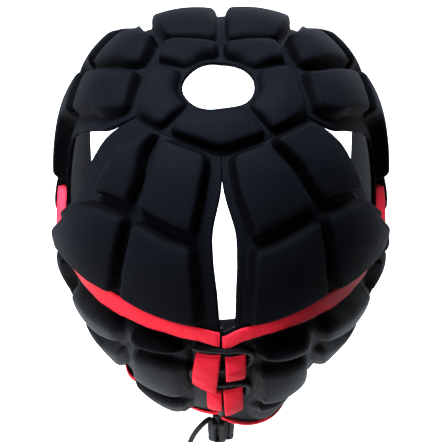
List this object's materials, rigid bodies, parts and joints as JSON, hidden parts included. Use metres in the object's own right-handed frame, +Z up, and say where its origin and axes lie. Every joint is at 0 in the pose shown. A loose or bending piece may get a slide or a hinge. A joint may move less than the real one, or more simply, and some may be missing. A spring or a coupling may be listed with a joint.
{
  "type": "head guard",
  "caption": "Soft padded head guard for rugby: foam blocks under a dark knitted cover, open crown, split back flaps, red tape, laced nape and a chin strap.",
  "frame": {"origin": "the top of the head inside the crown, in the middle of the crown's opening, where the guard sits", "axes": "+Z up, the face looks along -Y, the laced nape is towards +Y, the wearer's left is +X"},
  "size_m": [0.1822, 0.2061, 0.2481],
  "materials": {
    "cover_knit": "matt fine knit",
    "red_tape": "ribbed woven tape",
    "lace_cord": "round braided cord",
    "strap_webbing": "soft woven webbing"
  },
  "bodies": {
    "root": {"crown_ring": "cover_knit", "brow_panel": "cover_knit", "side_panel_left": "cover_knit", "side_panel_right": "cover_knit", "rear_flap_left": "cover_knit", "rear_flap_right": "cover_knit", "nape_guard_left": "cover_knit", "nape_guard_right": "cover_knit", "ear_guard_left": "cover_knit", "ear_guard_right": "cover_knit", "band_tape_left": "red_tape", "band_tape_right": "red_tape", "nape_binding_left": "red_tape", "nape_binding_right": "red_tape", "lace_loop_upper_left": "red_tape", "lace_loop_upper_right": "red_tape", "lace_loop_lower_left": "red_tape", "lace_loop_lower_right": "red_tape", "lace": "lace_cord", "lace_knot": "lace_cord", "lace_bow": "lace_cord", "lace_tail": "lace_cord", "chin_strap_left": "strap_webbing", "chin_strap_right": "strap_webbing"}
  },
  "joints": []
}
